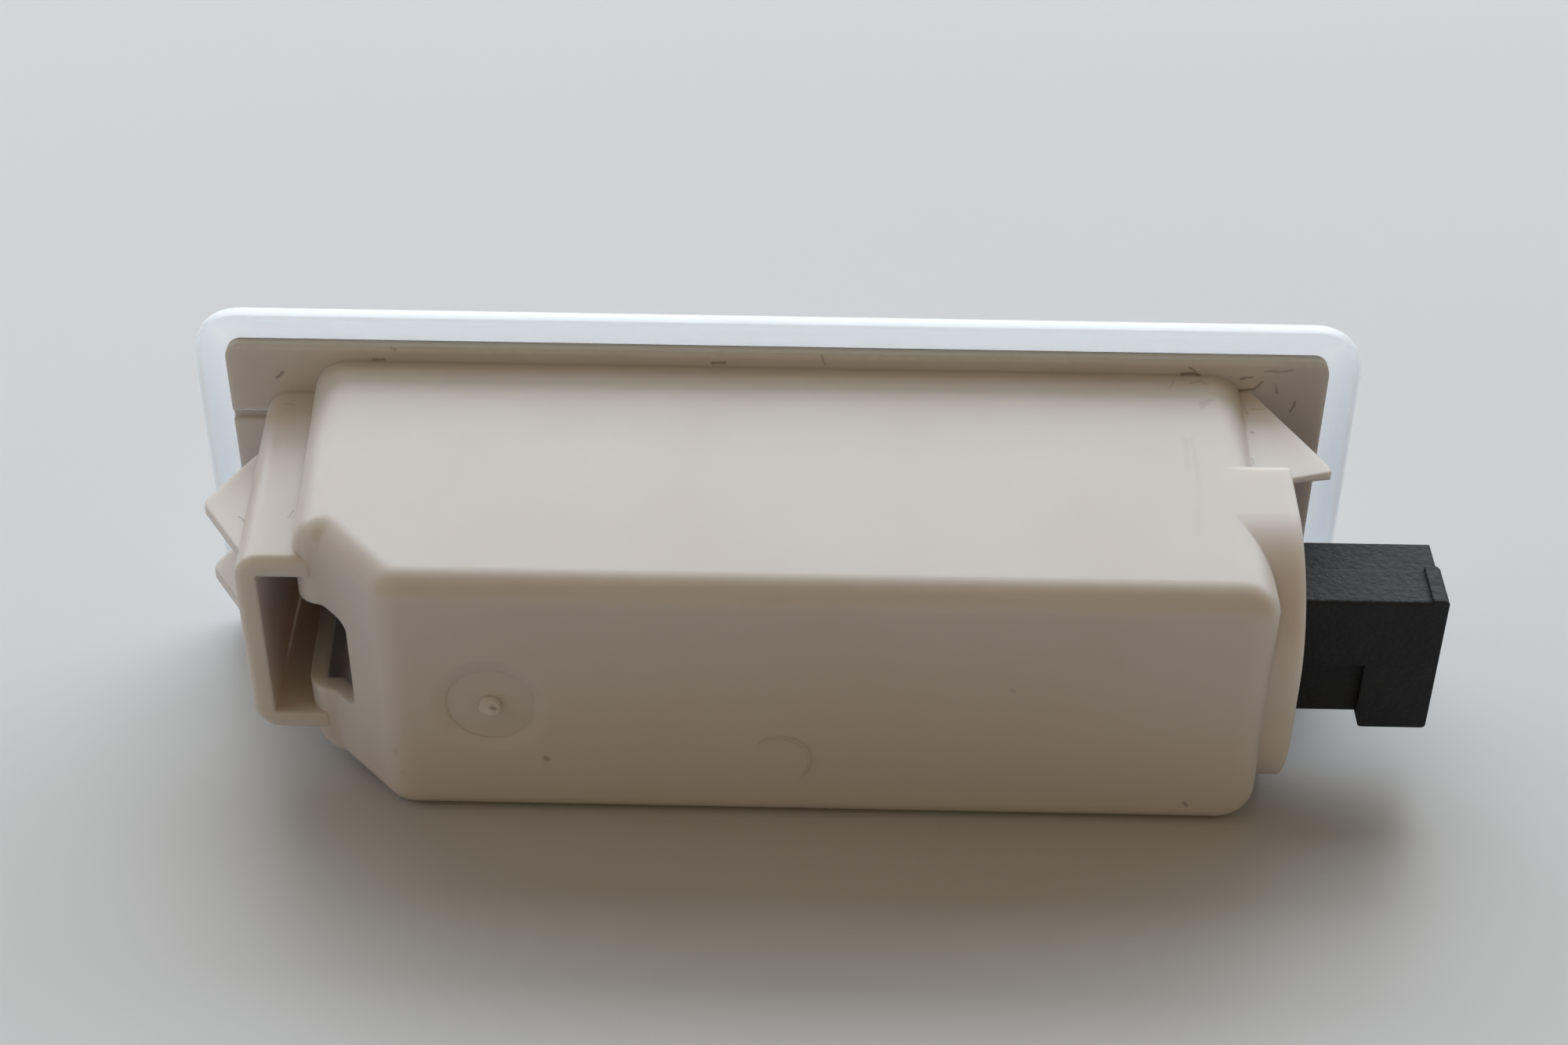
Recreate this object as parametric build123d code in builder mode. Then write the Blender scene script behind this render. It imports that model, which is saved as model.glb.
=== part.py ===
"""Interior light of a car: a moulded housing with snap ribs, a welded lens and a plug-in bulb holder.

The lamp lies as it would on a table, on the lower edge of its lens rim and the lower edge of its back.
Sizes are millimetres. Places along the lamp are counted from the middle of the flange, heights from its
middle line, and depths backwards from its back face.
"""

import os
from math import acos, atan2, cos, hypot, radians, sin, sqrt, tan

from build123d import *

# Flange of the housing
flange_length = 78.0
flange_height = 24.5
flange_thickness = 0.9
flange_corner = 1.1

# Box of the housing behind the flange
left_margin = 6.2
right_margin = 5.8
body_left = flange_length / 2 - left_margin
body_right = flange_length / 2 - right_margin
body_height = 22.0
body_depth = 23.7
wall = 1.2
side_draft = 2.5
left_draft = 3.8
body_corner = 2.6
back_edge = 1.8

# Step and slope at the left end of the box
shelf_depth = 18.3
shelf_length = 2.9
slope_start = body_left - shelf_length
slope_angle = 47.6
slope_foot = 1.2
slope_crest = 2.4

# Spring pocket beside the left end
pocket_reach = 3.7
pocket_height = 16.5
pocket_draft = 2.3
pocket_left_draft = 2.8
pocket_wall = 1.5
pocket_corner = 1.9
pocket_rim_edge = 0.5
pocket_floor = 1.2
pocket_root = 1.1
slot_height = 7.5
slot_reach = 4.8
slot_end = body_left - slot_reach
slot_floor = 3.0
slot_corner = 0.8

# Snap ribs on the spring pocket
spring_rib_tops = (6.6, 1.0)
spring_rib_thickness = 0.8
spring_rib_foot = 4.0
spring_rib_reach = 2.3
spring_rib_tip_depth = 10.6
spring_rib_tip_width = 0.7
spring_rib_lead = 17.2
rib_groove_depth = 0.35

# Fixed ribs at the right end
fixed_rib_top = 9.7
fixed_rib_thickness = 1.2
fixed_rib_foot = 0.4
fixed_rib_reach = 4.8
fixed_rib_tip_depth = 9.0
fixed_rib_tip_width = 0.5

# Collar round the bulb holder
collar_front = 9.9
collar_back = 22.85
collar_corner = 8.0
collar_front_corner = 0.5
collar_lap = 3.0
collar_length = 1.8
collar_start = body_right - collar_lap
collar_end = body_right + collar_length
holder_axis_depth = 11.5
holder_bore = 9.3
holder_hole = 8.0
holder_notch_width = 3.6

# Moulding marks on the back
gate_along = -18.25
gate_up = -0.33
gate_radius = 3.96
gate_dish = 0.25
gate_dish_edge = 0.2
gate_dish_slope = 1.0
sprue_radius = 0.72
sprue_height = 0.5
mark_along = 1.0
mark_up = -4.5
mark_radius = 2.05
mark_offset = 0.16
mark_height = 0.12

# Lens
rim_overhang_along = 2.5
rim_overhang_up = 1.7
lens_length = flange_length + 2 * rim_overhang_along
lens_height = flange_height + 2 * rim_overhang_up
lens_corner = 3.4
rim_thickness = 1.8
rim_rear_edge = 0.3
rim_front_edge = 0.8
lens_crown = 0.7
skirt_wall = 1.1
skirt_depth = 2.6
skirt_corner = 1.2
skirt_clearance = 0.15
flute_pitch = 2.5
flute_radius = 1.9
flute_depth = 0.5
flute_margin = 1.6

# Bulb holder and its connector
holder_clearance = 0.2
holder_flange = 1.4
holder_barrel = 9.0
lug_height = 0.6
lug_width = 3.2
lug_thickness = 1.5
lug_clearance = 0.15
plug_top = 4.7
plug_front_top = 4.0
plug_bottom = -5.3
plug_front = 9.8
plug_step_depth = 13.6
plug_back = 17.35
plug_length = 12.2
plug_end = body_right + plug_length
plug_wall = 0.9
plug_cavity = 8.5
plug_lip_length = 1.1
plug_lip_height = 0.25
plug_lip_chamfer = 0.25
plug_edge = 0.3
notch_length = 5.9
notch_top = -0.8
notch_depth = 0.6
catch_length = 4.7
catch_height = 1.0
catch_width = 4.2
catch_edge = 0.3

# Wedge bulb
bulb_base_inset = 1.2
bulb_base_end = body_right - bulb_base_inset
bulb_length = 26.8
bulb_radius = 5.0
bulb_base_length = 10.0
bulb_base_width = 9.5
bulb_base_thickness = 2.1
bulb_neck = 8.5
bulb_shoulder = 12.5
bulb_wall = 0.6
bulb_base_clearance = 0.2
lead_spacing = 3.8
lead_radius = 0.25
lead_seal = 0.02
lead_tail = 4.0
lead_end_gap = 0.5
filament_place = 17.5
filament_radius = 0.3

# Terminals
terminal_thickness = 0.6
terminal_width = 1.6
terminal_tip_gap = 2.0
terminal_start = 1.0
terminal_clearance = 0.05
terminal_bend_inset = 0.2
terminal_bend_length = 3.4


def drafted(half_size, depth, angle):
    """Half size of a drafted wall at a depth behind the flange."""
    return half_size - depth * tan(radians(angle))


# The two rounded edges that touch the table, and the tilt that lays the lamp on both
side_slope = tan(radians(side_draft))
back_round_depth = body_depth - back_edge
back_side_height = drafted(body_height / 2, back_round_depth, side_draft)
back_round_height = back_side_height - back_edge * sqrt(1 + side_slope**2)
rear_round_depth = -flange_thickness - rim_rear_edge
rear_round_height = lens_height / 2 - rim_rear_edge
front_round_depth = -flange_thickness - rim_thickness + rim_front_edge
front_round_height = lens_height / 2 - rim_front_edge
run = back_round_depth - rear_round_depth
rise = rear_round_height - back_round_height
tilt = acos((back_edge - rim_rear_edge) / hypot(run, rise)) - atan2(run, rise)

# The origin is on the table, below the middle of the lamp's box
lamp_front = front_round_height * sin(tilt) - front_round_depth * cos(tilt) + rim_front_edge
lamp_rear = -back_round_height * sin(tilt) - back_round_depth * cos(tilt) - back_edge
lamp_origin = Vector(
    (lens_length / 2 - plug_end) / 2,
    -(lamp_front + lamp_rear) / 2,
    rear_round_height * cos(tilt) + rear_round_depth * sin(tilt) + rim_rear_edge,
)
along = Vector(1, 0, 0)
up = Vector(0, -sin(tilt), cos(tilt))
back = Vector(0, -cos(tilt), -sin(tilt))

# Sketch planes of the lamp: seen from behind, from below and from the connector's end
back_plane = Plane(origin=lamp_origin, x_dir=along, z_dir=back)
side_plane = Plane(origin=lamp_origin, x_dir=along, z_dir=-up)
end_plane = Plane(origin=lamp_origin, x_dir=up, z_dir=along)
along_axis = Axis(lamp_origin, along)
up_axis = Axis(lamp_origin, up)
depth_axis = Axis(lamp_origin, back)
draft_tolerance = 2 * max(side_draft, left_draft)


def side_outline(points, top):
    """Closed (along, depth) outline in the plane at a height, ready to extrude downwards."""
    with BuildSketch(side_plane.offset(-top)) as outline:
        with BuildLine():
            Polyline(*points, close=True)
        make_face()
    return outline.sketch


def end_rectangle(place, low_up, high_up, low_depth, high_depth):
    """Rectangle in the plane across the lamp at a place along it, between two heights and two depths."""
    with BuildSketch(end_plane.offset(place)) as outline:
        with Locations(((low_up + high_up) / 2, (low_depth + high_depth) / 2)):
            Rectangle(high_up - low_up, high_depth - low_depth)
    return outline.sketch


def end_disc(place, radius):
    """Disc about the bulb's axis in the plane across the lamp at a place along it."""
    with BuildSketch(end_plane.offset(place)) as outline:
        with Locations((0, holder_axis_depth)):
            Circle(radius)
    return outline.sketch


def nearest_cross_edge(edges, place, depth):
    """Edge across the lamp's height that lies nearest to a place and a depth."""
    return edges.filter_by(up_axis).sort_by_distance(back_plane.from_local_coords((place, 0, depth)))[0]


# Outer form of the box: drafted sides, a shelf and a slope at the left end, and round edges
slope_height = body_depth - shelf_depth
slope_run = slope_height / tan(radians(slope_angle))
slope_cut = (
    (-slope_start, shelf_depth),
    (-slope_start + 2 * slope_run, shelf_depth + 2 * slope_height),
    (-flange_length, shelf_depth + 2 * slope_height),
    (-flange_length, shelf_depth),
)
with BuildPart() as box_form:
    with BuildSketch(back_plane.offset(-flange_thickness)):
        with Locations(((body_right - body_left) / 2, 0)):
            Rectangle(body_left + body_right, body_height)
    extrude(amount=body_depth + flange_thickness)
    draft(box_form.faces().filter_by(up_axis), back_plane, side_draft)
    draft(box_form.faces().filter_by(along_axis).sort_by(along_axis)[0], back_plane, left_draft)
    extrude(side_outline(slope_cut, body_height), amount=2 * body_height, mode=Mode.SUBTRACT)
    fillet(box_form.edges().filter_by(depth_axis, tolerance=draft_tolerance), body_corner)
    fillet(nearest_cross_edge(box_form.edges(), -slope_start, shelf_depth), slope_foot)
    fillet(nearest_cross_edge(box_form.edges(), slope_run - slope_start, body_depth), slope_crest)
    lowest = shelf_depth - wall / 2
    upper_edges = box_form.edges().filter_by_position(depth_axis, lowest, body_depth + wall / 2)
    inner_edges = upper_edges.filter_by(up_axis).sort_by(along_axis)[1:-1]
    fillet(upper_edges - inner_edges, back_edge)

# Hollow of the box, a wall inside its outer form and open through the flange
hollow_start = slope_start - wall * tan(radians(slope_angle / 2))
hollow_cut = (
    (-hollow_start, shelf_depth - wall),
    (-hollow_start + 2 * slope_run, shelf_depth - wall + 2 * slope_height),
    (-flange_length, shelf_depth - wall + 2 * slope_height),
    (-flange_length, shelf_depth - wall),
)
with BuildPart() as box_hollow:
    with BuildSketch(back_plane.offset(-2 * flange_thickness)):
        with Locations(((body_right - body_left) / 2, 0)):
            Rectangle(body_left + body_right - 2 * wall, body_height - 2 * wall)
    extrude(amount=body_depth - wall + 2 * flange_thickness)
    draft(box_hollow.faces().filter_by(up_axis), back_plane, side_draft)
    draft(box_hollow.faces().filter_by(along_axis).sort_by(along_axis)[0], back_plane, left_draft)
    extrude(side_outline(hollow_cut, body_height), amount=2 * body_height, mode=Mode.SUBTRACT)
    fillet(box_hollow.edges().filter_by(depth_axis, tolerance=draft_tolerance), body_corner - wall)

# Spring pocket: a drafted box whose outer wall carries the snap ribs, open at its back
pocket_left = body_left + pocket_reach
pocket_outline = (
    (-drafted(pocket_left, -flange_thickness / 2, pocket_left_draft), -flange_thickness / 2),
    (-drafted(pocket_left, shelf_depth, pocket_left_draft), shelf_depth),
    (-drafted(body_left - pocket_root, shelf_depth, left_draft), shelf_depth),
    (-drafted(body_left - pocket_root, -flange_thickness / 2, left_draft), -flange_thickness / 2),
)
with BuildPart() as pocket_form:
    extrude(side_outline(pocket_outline, pocket_height / 2), amount=pocket_height)
    draft(pocket_form.faces().filter_by(up_axis), back_plane, pocket_draft)
    pocket_edges = pocket_form.edges().filter_by(depth_axis, tolerance=draft_tolerance)
    fillet(pocket_edges.sort_by(along_axis)[:2], pocket_corner)
    pocket_rim = pocket_form.faces().sort_by(depth_axis)[-1]
    fillet(pocket_rim.edges().sort_by(along_axis)[:-1], pocket_rim_edge)

# Inside of the spring pocket, up to the end wall of the box
pocket_inside = (
    (-drafted(pocket_left - pocket_wall, pocket_floor, pocket_left_draft), pocket_floor),
    (-drafted(pocket_left - pocket_wall, body_depth, pocket_left_draft), body_depth),
    (-slot_end, body_depth),
    (-slot_end, pocket_floor),
)
pocket_inside_height = pocket_height - 2 * pocket_wall
with BuildPart() as pocket_hollow:
    extrude(side_outline(pocket_inside, pocket_inside_height / 2), amount=pocket_inside_height)
    draft(pocket_hollow.faces().filter_by(up_axis), back_plane, pocket_draft)
    add(box_form.part, mode=Mode.SUBTRACT)

# Collar round the bulb holder, flush with the sides of the box and as far as it lies outside its hollow
collar_front_half = drafted(body_height / 2, collar_front, side_draft)
collar_back_half = drafted(body_height / 2, collar_back, side_draft)
collar_outline = (
    (collar_front_half, collar_front),
    (collar_back_half, collar_back),
    (-collar_back_half, collar_back),
    (-collar_front_half, collar_front),
)
with BuildPart() as collar_form:
    with BuildSketch(end_plane.offset(collar_start)) as collar:
        with BuildLine():
            Polyline(*collar_outline, close=True)
        make_face()
        fillet(collar.vertices().group_by(Axis.Y)[-1], collar_corner)
        fillet(collar.vertices().group_by(Axis.Y)[0], collar_front_corner)
    extrude(amount=collar_end - collar_start)
    add(box_hollow.part, mode=Mode.SUBTRACT)

# Housing, one moulding: box, flange, spring pocket, snap ribs and the collar for the bulb holder
gate_floor_radius = gate_radius - gate_dish_slope
spring_rib_outline = (
    (-drafted(pocket_left - pocket_wall / 2, spring_rib_foot, pocket_left_draft), spring_rib_foot),
    (-pocket_left - spring_rib_reach, spring_rib_tip_depth),
    (-pocket_left - spring_rib_reach, spring_rib_tip_depth + spring_rib_tip_width),
    (-drafted(pocket_left - pocket_wall / 2, spring_rib_lead, pocket_left_draft), spring_rib_lead),
)
fixed_rib_outline = (
    (body_right - wall / 2, 0),
    (body_right + fixed_rib_foot, 0),
    (body_right + fixed_rib_reach, fixed_rib_tip_depth),
    (body_right + fixed_rib_reach, fixed_rib_tip_depth + fixed_rib_tip_width),
    (collar_end, collar_front + fixed_rib_tip_width),
    (body_right - wall / 2, collar_front + fixed_rib_tip_width),
)
with BuildPart() as housing:
    add(box_form.part)
    with BuildSketch(back_plane.offset(-flange_thickness)):
        RectangleRounded(flange_length, flange_height, flange_corner)
    extrude(amount=flange_thickness)
    add(box_hollow.part, mode=Mode.SUBTRACT)
    add(pocket_form.part)
    add(collar_form.part)
    for rib_top in (fixed_rib_top, fixed_rib_thickness - fixed_rib_top):
        extrude(side_outline(fixed_rib_outline, rib_top), amount=fixed_rib_thickness)
    for rib_top in spring_rib_tops:
        extrude(side_outline(spring_rib_outline, rib_top), amount=spring_rib_thickness)
        with BuildSketch(back_plane.offset(-rib_groove_depth)):
            with Locations((-(flange_length / 2 + pocket_left) / 2, rib_top - spring_rib_thickness / 2)):
                Rectangle(flange_length / 2 - pocket_left, spring_rib_thickness)
        extrude(amount=rib_groove_depth, mode=Mode.SUBTRACT)
    add(pocket_hollow.part, mode=Mode.SUBTRACT)
    with BuildSketch(back_plane.offset(slot_floor)):
        with Locations((-(slot_end + body_left + slot_corner) / 2, 0)):
            RectangleRounded(body_left + slot_corner - slot_end, slot_height, slot_corner)
    extrude(amount=body_depth, mode=Mode.SUBTRACT)
    extrude(end_disc(body_right, holder_bore), amount=plug_end - body_right, mode=Mode.SUBTRACT)
    extrude(end_disc(body_right - 2 * wall, holder_hole), amount=3 * wall, mode=Mode.SUBTRACT)
    notch_reach = holder_hole + lug_height + lug_clearance - holder_clearance
    notch = end_rectangle(
        body_right - 2 * wall,
        -holder_notch_width / 2,
        holder_notch_width / 2,
        holder_axis_depth - notch_reach,
        holder_axis_depth + notch_reach,
    )
    extrude(notch, amount=3 * wall, mode=Mode.SUBTRACT)
    with BuildSketch(back_plane.offset(body_depth - gate_dish)):
        with Locations((gate_along, gate_up)):
            Circle(gate_floor_radius)
    extrude(amount=wall, mode=Mode.SUBTRACT)
    round_edges = housing.edges().filter_by(GeomType.CIRCLE)
    gate_rim = round_edges.filter_by(lambda edge: abs(edge.radius - gate_floor_radius) < gate_dish)
    flat_faces = housing.faces().filter_by(GeomType.PLANE)
    back_faces = flat_faces.filter_by_position(depth_axis, body_depth - gate_dish / 2, body_depth + gate_dish / 2)
    back_face = back_faces.sort_by(SortBy.AREA)[-1]
    chamfer(gate_rim.sort_by(depth_axis)[-1], gate_dish_slope, gate_dish_edge, reference=back_face)
    with BuildSketch(back_plane.offset(body_depth - gate_dish)):
        with Locations((gate_along, gate_up)):
            Circle(sprue_radius)
    extrude(amount=sprue_height)
    with BuildSketch(back_plane.offset(body_depth)):
        with Locations((mark_along, mark_up)):
            Circle(mark_radius)
        with Locations((mark_along - mark_offset, mark_up - mark_offset)):
            Circle(mark_radius, mode=Mode.SUBTRACT)
    extrude(amount=mark_height)
housing.part.label = "housing"

# Lens: a crowned plate with a rim round the flange, a skirt in the mouth of the box and inner flutes
lens_front = -flange_thickness - rim_thickness
skirt_half_height = drafted(body_height / 2 - wall, skirt_depth, side_draft) - skirt_clearance
skirt_left = drafted(body_left - wall, skirt_depth, left_draft) - skirt_clearance
skirt_right = body_right - wall - skirt_clearance
skirt_middle = (skirt_right - skirt_left) / 2
skirt_length = skirt_left + skirt_right
flute_span = skirt_length - 2 * (skirt_wall + flute_margin)
flute_height = 2 * (skirt_half_height - skirt_wall - flute_margin)
with BuildPart() as lens:
    with BuildSketch(back_plane.offset(-flange_thickness)):
        RectangleRounded(lens_length, lens_height, lens_corner)
    extrude(amount=-rim_thickness - lens_crown)
    with BuildSketch(end_plane.offset(-lens_length / 2)):
        with BuildLine():
            ThreePointArc(
                (-lens_height / 2, lens_front), (0, lens_front - lens_crown), (lens_height / 2, lens_front)
            )
            Polyline(
                (lens_height / 2, lens_front),
                (lens_height / 2, 0),
                (-lens_height / 2, 0),
                (-lens_height / 2, lens_front),
            )
        make_face()
    extrude(amount=lens_length, mode=Mode.INTERSECT)
    fillet(lens.faces().sort_by(depth_axis)[0].edges(), rim_front_edge)
    fillet(lens.faces().sort_by(depth_axis)[-1].edges(), rim_rear_edge)
    with BuildSketch(back_plane.offset(-flange_thickness)):
        with Locations((skirt_middle, 0)):
            RectangleRounded(skirt_length, 2 * skirt_half_height, skirt_corner)
            Rectangle(skirt_length - 2 * skirt_wall, 2 * (skirt_half_height - skirt_wall), mode=Mode.SUBTRACT)
    extrude(amount=flange_thickness + skirt_depth)
    with BuildSketch(side_plane.offset(-flute_height / 2)):
        with Locations((skirt_middle, flute_radius - flute_depth - flange_thickness)):
            with GridLocations(flute_pitch, 0, int(flute_span / flute_pitch), 1):
                Circle(flute_radius)
    extrude(amount=flute_height, mode=Mode.SUBTRACT)
lens.part.label = "lens"

# Terminals: two strips that grip the bulb's leads and end as the connector's pins
upper_strip_depth = holder_axis_depth + bulb_base_thickness / 2 + 2 * lead_radius + terminal_thickness / 2
lower_strip_depth = holder_axis_depth - bulb_base_thickness / 2 - 2 * lead_radius - terminal_thickness / 2
barrel_start = body_right - holder_barrel
strip_start = barrel_start + terminal_start
strip_end = plug_end - terminal_tip_gap
bend_start = body_right - terminal_bend_inset
upper_route = ((strip_start, upper_strip_depth), (strip_end, upper_strip_depth))
lower_route = (
    (strip_start, lower_strip_depth),
    (bend_start, lower_strip_depth),
    (bend_start + terminal_bend_length, upper_strip_depth),
    (strip_end, upper_strip_depth),
)


def strip_outline(route, middle_up, clearance):
    """Side outline of a terminal strip along its route, grown by a clearance, in its upper plane."""
    with BuildSketch(side_plane.offset(-middle_up - terminal_width / 2 - clearance)) as outline:
        with BuildLine():
            Polyline(*route)
        trace(line_width=terminal_thickness + 2 * clearance)
    return outline.sketch


with BuildPart() as terminal_upper:
    extrude(strip_outline(upper_route, lead_spacing / 2, 0), amount=terminal_width)
terminal_upper.part.label = "terminal_upper"

with BuildPart() as terminal_lower:
    extrude(strip_outline(lower_route, -lead_spacing / 2, 0), amount=terminal_width)
terminal_lower.part.label = "terminal_lower"

# Bulb holder: barrel with locking lugs, seat flange, socket and connector shroud in one moulding
holder_radius = holder_hole - holder_clearance
holder_end = body_right + holder_flange
lug_end = body_right - wall - lug_clearance
socket_floor = bulb_base_end + 2 * lead_end_gap + lead_radius
plug_outline = (
    (plug_bottom, plug_front),
    (plug_front_top, plug_front),
    (plug_front_top, plug_step_depth),
    (plug_top, plug_step_depth),
    (plug_top, plug_back),
    (plug_bottom, plug_back),
)
with BuildPart() as bulb_holder:
    with BuildSketch(end_plane.offset(body_right)):
        with BuildLine():
            Polyline(*plug_outline, close=True)
        make_face()
    extrude(amount=plug_end - body_right)
    fillet(bulb_holder.edges().filter_by(along_axis), plug_edge)
    lip = end_rectangle(plug_end - plug_lip_length, 0, plug_top + plug_lip_height, plug_step_depth, plug_back)
    extrude(lip, amount=plug_lip_length)
    lip_corner = bulb_holder.edges().filter_by(depth_axis).group_by(along_axis)[-1].sort_by(up_axis)[-1]
    chamfer(lip_corner, plug_lip_chamfer)
    catch = end_rectangle(
        plug_end - catch_length,
        plug_bottom - catch_height,
        plug_bottom + plug_wall,
        plug_back - catch_width,
        plug_back,
    )
    extrude(catch, amount=catch_length)
    catch_edges = bulb_holder.edges().filter_by(depth_axis).group_by(up_axis)[0]
    fillet(catch_edges, catch_edge)
    notch = end_rectangle(holder_end, plug_bottom, notch_top, plug_back - notch_depth, plug_back)
    extrude(notch, amount=notch_length, mode=Mode.SUBTRACT)
    extrude(end_disc(body_right, holder_bore - holder_clearance), amount=holder_flange)
    extrude(end_disc(barrel_start, holder_radius), amount=holder_barrel)
    lugs = end_rectangle(
        lug_end - lug_thickness,
        -holder_radius - lug_height,
        holder_radius + lug_height,
        holder_axis_depth - lug_width / 2,
        holder_axis_depth + lug_width / 2,
    )
    extrude(lugs, amount=lug_thickness)
    plug_cavity_mouth = end_rectangle(
        plug_end - plug_cavity,
        plug_bottom + plug_wall,
        plug_front_top - plug_wall,
        plug_front + plug_wall,
        plug_back - plug_wall,
    )
    extrude(plug_cavity_mouth, amount=plug_cavity, mode=Mode.SUBTRACT)
    socket_half_width = bulb_base_width / 2 + bulb_base_clearance
    socket_half_depth = bulb_base_thickness / 2 + bulb_base_clearance
    socket = end_rectangle(
        barrel_start,
        -socket_half_width,
        socket_half_width,
        holder_axis_depth - socket_half_depth,
        holder_axis_depth + socket_half_depth,
    )
    extrude(socket, amount=socket_floor - barrel_start, mode=Mode.SUBTRACT)
    contact_half_width = terminal_width / 2 + terminal_clearance
    upper_contact = end_rectangle(
        barrel_start,
        lead_spacing / 2 - contact_half_width,
        lead_spacing / 2 + contact_half_width,
        holder_axis_depth,
        upper_strip_depth + terminal_thickness / 2 + terminal_clearance,
    )
    extrude(upper_contact, amount=socket_floor - barrel_start, mode=Mode.SUBTRACT)
    lower_contact = end_rectangle(
        barrel_start,
        -lead_spacing / 2 - contact_half_width,
        -lead_spacing / 2 + contact_half_width,
        lower_strip_depth - terminal_thickness / 2 - terminal_clearance,
        holder_axis_depth,
    )
    extrude(lower_contact, amount=socket_floor - barrel_start, mode=Mode.SUBTRACT)
    for route, middle_up in ((upper_route, lead_spacing / 2), (lower_route, -lead_spacing / 2)):
        passage = strip_outline(route, middle_up, terminal_clearance)
        extrude(passage, amount=terminal_width + 2 * terminal_clearance, mode=Mode.SUBTRACT)
bulb_holder.part.label = "bulb_holder"

# Bulb: a hollow glass with a flat wedge base, two leads through the base, and the filament between them
bulb_axis = Axis(back_plane.from_local_coords((0, 0, holder_axis_depth)), along)
bulb_tip = bulb_base_end - bulb_length
dome_start = bulb_tip + bulb_radius
dome_middle = bulb_radius * sin(radians(45))
inner_radius = bulb_radius - bulb_wall
inner_dome_middle = inner_radius * sin(radians(45))
bulb_inside = (
    (bulb_tip + bulb_wall, holder_axis_depth),
    (bulb_base_end - bulb_base_length - bulb_wall, holder_axis_depth),
    (bulb_base_end - bulb_base_length - bulb_wall, holder_axis_depth + bulb_wall),
    (bulb_base_end - bulb_shoulder - bulb_wall, holder_axis_depth + inner_radius),
    (dome_start, holder_axis_depth + inner_radius),
    (dome_start - inner_dome_middle, holder_axis_depth + inner_dome_middle),
)
lead_ups = (lead_spacing / 2, -lead_spacing / 2)
with BuildPart() as bulb_glass:
    with BuildSketch(side_plane):
        with BuildLine():
            Polyline(
                (bulb_tip, holder_axis_depth),
                (bulb_base_end - bulb_neck, holder_axis_depth),
                (bulb_base_end - bulb_neck, holder_axis_depth + bulb_base_thickness / 2),
                (bulb_base_end - bulb_shoulder, holder_axis_depth + bulb_radius),
                (dome_start, holder_axis_depth + bulb_radius),
            )
            ThreePointArc(
                (dome_start, holder_axis_depth + bulb_radius),
                (dome_start - dome_middle, holder_axis_depth + dome_middle),
                (bulb_tip, holder_axis_depth),
            )
        make_face()
    revolve(axis=bulb_axis)
    base = end_rectangle(
        bulb_base_end - bulb_base_length,
        -bulb_base_width / 2,
        bulb_base_width / 2,
        holder_axis_depth - bulb_base_thickness / 2,
        holder_axis_depth + bulb_base_thickness / 2,
    )
    extrude(base, amount=bulb_base_length)
    revolve(side_outline(bulb_inside, 0), bulb_axis, mode=Mode.SUBTRACT)
    with BuildSketch(end_plane.offset(bulb_base_end - bulb_shoulder)):
        with Locations(*((lead_up, holder_axis_depth) for lead_up in lead_ups)):
            Circle(lead_radius + lead_seal)
    extrude(amount=bulb_shoulder, mode=Mode.SUBTRACT)
bulb_glass.part.label = "bulb_glass"


def lead_route(lead_up, side):
    """Route of a lead: from the filament through the base, folded back on one face of it."""
    fold_depth = holder_axis_depth + side * (bulb_base_thickness / 2 + lead_radius)
    with BuildLine(side_plane.offset(-lead_up)) as route:
        Polyline(
            (bulb_base_end - filament_place, holder_axis_depth),
            (bulb_base_end + lead_end_gap, holder_axis_depth),
            (bulb_base_end + lead_end_gap, fold_depth),
            (bulb_base_end - lead_tail, fold_depth),
        )
    return route.line


def lead_section(lead_up):
    """Round section of a lead where it meets the filament."""
    with BuildSketch(end_plane.offset(bulb_base_end - filament_place)) as section:
        with Locations((lead_up, holder_axis_depth)):
            Circle(lead_radius)
    return section.sketch


with BuildPart() as lead_upper:
    upper_lead = lead_route(lead_spacing / 2, 1)
    sweep(lead_section(lead_spacing / 2), path=upper_lead, transition=Transition.RIGHT)
lead_upper.part.label = "lead_upper"

with BuildPart() as lead_lower:
    lower_lead = lead_route(-lead_spacing / 2, -1)
    sweep(lead_section(-lead_spacing / 2), path=lower_lead, transition=Transition.RIGHT)
lead_lower.part.label = "lead_lower"

filament_length = lead_spacing - 2 * lead_radius
with BuildPart() as filament:
    with BuildSketch(side_plane.offset(-filament_length / 2)):
        with Locations((bulb_base_end - filament_place + filament_radius, holder_axis_depth)):
            Circle(filament_radius)
    extrude(amount=filament_length)
filament.part.label = "filament"

# One file for each piece
os.makedirs("parts", exist_ok=True)
export_step(housing.part, "parts/housing.step")
export_step(lens.part, "parts/lens.step")
export_step(bulb_holder.part, "parts/bulb_holder.step")
export_step(terminal_upper.part, "parts/terminal_upper.step")
export_step(terminal_lower.part, "parts/terminal_lower.step")
export_step(bulb_glass.part, "parts/bulb_glass.step")
export_step(lead_upper.part, "parts/lead_upper.step")
export_step(lead_lower.part, "parts/lead_lower.step")
export_step(filament.part, "parts/filament.step")
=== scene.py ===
"""Looks of the interior light: finishes for every CAD piece, a coiled filament, floor, light and camera."""

import logging
import math
from dataclasses import dataclass, field
from enum import Enum

import bpy
from mathutils import Matrix, Vector


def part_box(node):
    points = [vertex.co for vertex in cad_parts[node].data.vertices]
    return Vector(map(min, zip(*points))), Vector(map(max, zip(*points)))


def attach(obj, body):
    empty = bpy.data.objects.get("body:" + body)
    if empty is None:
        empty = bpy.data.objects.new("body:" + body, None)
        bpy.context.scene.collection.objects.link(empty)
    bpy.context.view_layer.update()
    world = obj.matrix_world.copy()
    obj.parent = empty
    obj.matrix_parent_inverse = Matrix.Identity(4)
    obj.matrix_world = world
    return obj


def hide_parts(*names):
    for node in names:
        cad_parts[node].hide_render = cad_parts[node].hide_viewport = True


log = logging.getLogger("interior_light")

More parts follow.
